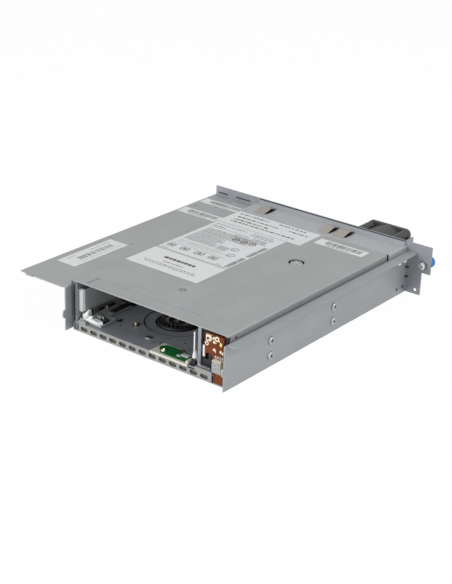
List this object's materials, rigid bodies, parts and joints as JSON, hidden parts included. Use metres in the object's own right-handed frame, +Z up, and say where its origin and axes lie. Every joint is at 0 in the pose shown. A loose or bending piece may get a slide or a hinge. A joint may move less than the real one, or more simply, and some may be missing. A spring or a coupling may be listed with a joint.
{
  "type": "data tape drive",
  "caption": "Half-height data tape drive on a sheet-steel library tray with side wing, cartridge bay, reel clutch, rear fan and captive blue thumbscrews.",
  "frame": {"origin": "centre of the four threaded holes in the drive's underside, on the bottom face", "axes": "+Z up, +Y from the cartridge mouth to the rear fan, +X to the right seen from the front"},
  "size_m": [0.2178, 0.2697, 0.0439],
  "materials": {
    "zinc_steel": "zinc-coated sheet steel, satin, faint rolled grain",
    "rear_cover_steel": "lighter zinc-coated sheet steel, satin",
    "dark_casting": "dark grey coated light-metal casting, matt",
    "spring_bronze": "tan spring bronze strip",
    "screw_steel": "bright zinc-plated turned steel",
    "brass": "turned brass",
    "fan_black": "black glass-filled plastic, fine matt",
    "knob_blue": "blue moulded plastic, semi-gloss",
    "board_green": "green solder-masked circuit board",
    "board_brown": "brown phenolic circuit board with solder mask",
    "white_plastic": "natural white moulded plastic",
    "grey_plastic": "light grey moulded plastic",
    "black_plastic": "black moulded plastic",
    "reel_plastic": "dark grey moulded reel plastic",
    "port_shell": "plated connector shell"
  },
  "bodies": {
    "tray": {"top_cover": "zinc_steel", "bottom_cover": "zinc_steel", "main_frame": "dark_casting", "left_bracket": "zinc_steel", "right_bracket": "zinc_steel", "rear_plate": "zinc_steel", "rear_cover": "rear_cover_steel", "rear_floor": "zinc_steel", "grounding_springs": "spring_bronze", "left_side_screws": "screw_steel", "right_side_screws": "screw_steel", "tray_rivets": "screw_steel", "fan_frame": "fan_black", "fan_screws": "screw_steel", "main_board": "board_green", "board_spacers": "screw_steel", "reel_motor": "black_plastic", "takeup_motor": "black_plastic", "roller_pins": "screw_steel", "head_posts": "screw_steel", "arm_pin": "screw_steel", "left_bay_guide": "zinc_steel", "right_bay_wall": "zinc_steel", "bay_roof_guide": "zinc_steel", "reader_holder": "white_plastic", "reader_board": "board_green", "feeler_bracket": "screw_steel", "locating_pins": "brass", "operator_board": "board_brown", "board_mount": "dark_casting", "status_display": "grey_plastic", "display_pins": "screw_steel", "status_leds": "white_plastic", "eject_switch": "white_plastic", "media_sensor": "black_plastic", "interface_board": "board_green", "data_port": "port_shell", "network_port": "port_shell", "right_screw_ferrule": "screw_steel", "left_screw_ferrule": "screw_steel"},
    "fan_rotor": {"fan_rotor": "fan_black"},
    "reel_clutch": {"reel_clutch": "black_plastic"},
    "takeup_reel": {"takeup_reel": "reel_plastic"},
    "tape_head": {"tape_head": "black_plastic"},
    "threading_arm": {"threading_arm": "screw_steel"},
    "loader_carriage": {"loader_carriage": "grey_plastic"},
    "cartridge_latch": {"cartridge_latch": "white_plastic"},
    "cartridge_feeler": {"cartridge_feeler": "white_plastic"},
    "eject_plunger": {"eject_plunger": "black_plastic"},
    "tape_roller_1": {"tape_roller_1": "black_plastic"},
    "tape_roller_2": {"tape_roller_2": "black_plastic"},
    "tape_roller_3": {"tape_roller_3": "black_plastic"},
    "tape_roller_4": {"tape_roller_4": "black_plastic"},
    "right_screw_washer": {"right_screw_washer": "screw_steel"},
    "right_thumbscrew": {"right_thumbscrew_shaft": "screw_steel", "right_thumbscrew_knob": "knob_blue"},
    "left_screw_washer": {"left_screw_washer": "screw_steel"},
    "left_thumbscrew": {"left_thumbscrew_shaft": "screw_steel", "left_thumbscrew_knob": "knob_blue"}
  },
  "joints": [
    {"name": "fan_spin", "type": "hinge", "parent": "tray", "child": "fan_rotor", "pos_m": [0.04, 0.15898, 0.0216], "axis": [0, 1, 0], "continuous": true},
    {"name": "clutch_spin", "type": "hinge", "parent": "tray", "child": "reel_clutch", "pos_m": [-0.013, -0.03513, 0.006], "axis": [0, 0, 1], "continuous": true},
    {"name": "takeup_spin", "type": "hinge", "parent": "tray", "child": "takeup_reel", "pos_m": [0.0295, 0.05407, 0.02], "axis": [0, 0, 1], "continuous": true},
    {"name": "roller_1_spin", "type": "hinge", "parent": "tray", "child": "tape_roller_1", "pos_m": [-0.053, 0.03188, 0.021], "axis": [0, 0, 1], "continuous": true},
    {"name": "roller_2_spin", "type": "hinge", "parent": "tray", "child": "tape_roller_2", "pos_m": [-0.049, 0.04988, 0.021], "axis": [0, 0, 1], "continuous": true},
    {"name": "roller_3_spin", "type": "hinge", "parent": "tray", "child": "tape_roller_3", "pos_m": [-0.049, 0.08188, 0.021], "axis": [0, 0, 1], "continuous": true},
    {"name": "roller_4_spin", "type": "hinge", "parent": "tray", "child": "tape_roller_4", "pos_m": [-0.031, 0.09988, 0.021], "axis": [0, 0, 1], "continuous": true},
    {"name": "head_lift", "type": "slide", "parent": "tray", "child": "tape_head", "axis": [0, 0, 1], "range_m": [-0.0012, 0.0012]},
    {"name": "threading_swing", "type": "hinge", "parent": "tray", "child": "threading_arm", "pos_m": [-0.019, 0.04188, 0.033], "axis": [0, 0, 1], "range_deg": [-185, 0]},
    {"name": "carriage_travel", "type": "slide", "parent": "tray", "child": "loader_carriage", "axis": [0, 1, 0], "range_m": [0, 0.026]},
    {"name": "latch_swing", "type": "hinge", "parent": "loader_carriage", "child": "cartridge_latch", "pos_m": [-0.066, -0.07913, 0.012], "axis": [0, 0, 1], "range_deg": [-15, 0]},
    {"name": "feeler_tilt", "type": "hinge", "parent": "tray", "child": "cartridge_feeler", "pos_m": [0.0401, -0.08153, 0.0103], "axis": [0, 1, 0], "range_deg": [0, 6]},
    {"name": "eject_press", "type": "slide", "parent": "tray", "child": "eject_plunger", "axis": [0, 1, 0], "range_m": [0, 0.0003]},
    {"name": "right_screw_travel", "type": "slide", "parent": "tray", "child": "right_screw_washer", "axis": [0, -1, 0], "range_m": [0, 0.0021]},
    {"name": "right_screw_turn", "type": "hinge", "parent": "right_screw_washer", "child": "right_thumbscrew", "pos_m": [0.0902, 0.14377, 0.0276], "axis": [0, -1, 0], "continuous": true},
    {"name": "left_screw_travel", "type": "slide", "parent": "tray", "child": "left_screw_washer", "axis": [0, -1, 0], "range_m": [0, 0.0021]},
    {"name": "left_screw_turn", "type": "hinge", "parent": "left_screw_washer", "child": "left_thumbscrew", "pos_m": [-0.1144, 0.14377, 0.0276], "axis": [0, -1, 0], "continuous": true}
  ]
}
